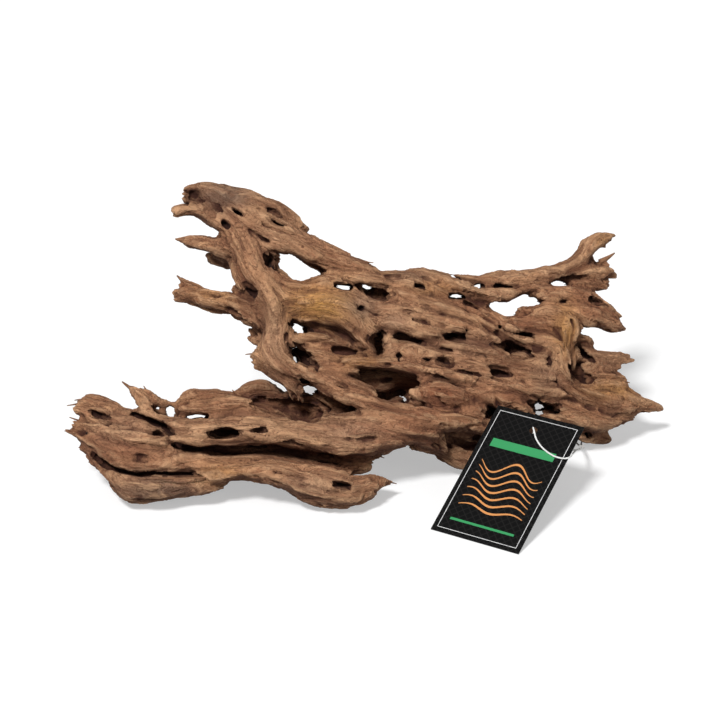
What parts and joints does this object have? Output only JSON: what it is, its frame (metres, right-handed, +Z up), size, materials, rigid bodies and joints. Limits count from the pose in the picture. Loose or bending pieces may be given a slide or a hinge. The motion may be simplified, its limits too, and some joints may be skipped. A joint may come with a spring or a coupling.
{
  "type": "dragon wood",
  "caption": "Gnarled piece of weathered root wood with prongs, hollows and through holes, resting on its own low points, with a card hang tag on an elastic loop.",
  "frame": {"origin": "the middle of the whole part's footprint box, on the surface that it stands on", "axes": "+X along the wood towards its tail, +Y away from the side that the picture shows, +Z up"},
  "size_m": [0.371, 0.2102, 0.1624],
  "materials": {
    "wood": "raw, weathered and matte",
    "tag_card": "printed, faint sheen",
    "tag_loop": "covered elastic cord, matte"
  },
  "bodies": {
    "root": {"wood": "wood", "tag_card": "tag_card", "tag_loop": "tag_loop"}
  },
  "joints": []
}
